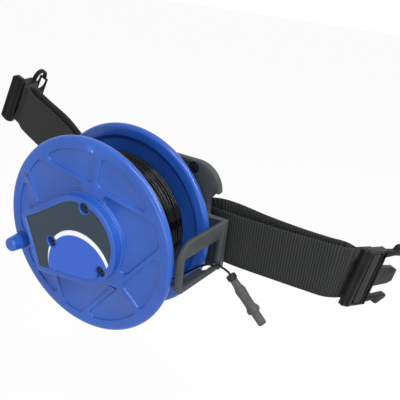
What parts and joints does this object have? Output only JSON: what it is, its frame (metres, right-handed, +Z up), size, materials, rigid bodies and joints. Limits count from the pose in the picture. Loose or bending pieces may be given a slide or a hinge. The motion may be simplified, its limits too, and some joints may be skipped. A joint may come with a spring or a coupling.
{
  "type": "belt-worn test lead reel",
  "caption": "Hand-cranked reel of thin test lead on a frame worn on a waist belt, with a side bar that guides the lead and a straight test plug on its end.",
  "frame": {"origin": "centre of the back pad's rear face, on the drum's axis", "axes": "+Y from the drum towards the wearer, along the drum's axis; +Z up across the belt; +X along the belt towards the side with the lead guard"},
  "size_m": [0.4847, 0.206, 0.17],
  "materials": {
    "blue_plastic": "satin moulded plastic",
    "grey_plastic": "fine-grained moulded plastic",
    "buckle_plastic": "satin moulded acetal",
    "webbing": "ribbed woven polypropylene",
    "lead_cover": "glossy flexible PVC",
    "plug_plastic": "satin moulded plastic",
    "steel": "zinc plated",
    "bronze": "sintered bronze",
    "nickel": "nickel plated brass",
    "label_print": "printed film",
    "foam": "closed-cell foam",
    "friction_disc": "fibre friction disc",
    "clear_nylon": "natural nylon"
  },
  "bodies": {
    "frame": {"axle": "steel", "axle_nut": "steel", "spring_washer": "steel", "front_washer": "steel", "drag_washer": "friction_disc", "front_frame": "grey_plastic", "frame_screws": "steel", "belt_carrier": "grey_plastic", "carrier_pad": "foam", "belt_strap": "webbing", "belt_tail": "webbing", "buckle_male": "buckle_plastic", "buckle_female": "buckle_plastic", "lead_tail": "lead_cover", "plug_ring": "lead_cover", "plug_crimp": "nickel", "plug_body": "plug_plastic", "plug_shroud": "plug_plastic", "plug_pin": "nickel"},
    "drum": {"front_flange": "blue_plastic", "rear_drum": "blue_plastic", "label_plate": "label_print", "flange_screws": "steel", "knob_pin": "steel", "lead_winding": "lead_cover", "inner_lead": "lead_cover", "lead_clamp": "clear_nylon", "clamp_screw": "steel", "front_bush": "bronze", "rear_bush": "bronze"},
    "knob": {"crank_knob": "blue_plastic"},
    "arm_upper": {"buckle_arm_upper": "buckle_plastic"},
    "arm_lower": {"buckle_arm_lower": "buckle_plastic"}
  },
  "joints": [
    {"name": "drum_spin", "type": "hinge", "parent": "frame", "child": "drum", "pos_m": [0, -0.06, 0], "axis": [0, 1, 0], "continuous": true},
    {"name": "knob_spin", "type": "hinge", "parent": "drum", "child": "knob", "pos_m": [-0.07048, -0.1, -0.02565], "axis": [0, 1, 0], "continuous": true},
    {"name": "arm_upper_squeeze", "type": "hinge", "parent": "frame", "child": "arm_upper", "pos_m": [0.21405, 0.02534, 0.01475], "axis": [-0.8713, 0.4797, 0.1035], "range_deg": [0, 7], "stiffness_Nm_per_rad": 0.6},
    {"name": "arm_lower_squeeze", "type": "hinge", "parent": "frame", "child": "arm_lower", "pos_m": [0.20713, 0.02212, -0.02858], "axis": [0.8713, -0.4797, -0.1035], "range_deg": [0, 7], "stiffness_Nm_per_rad": 0.6}
  ]
}
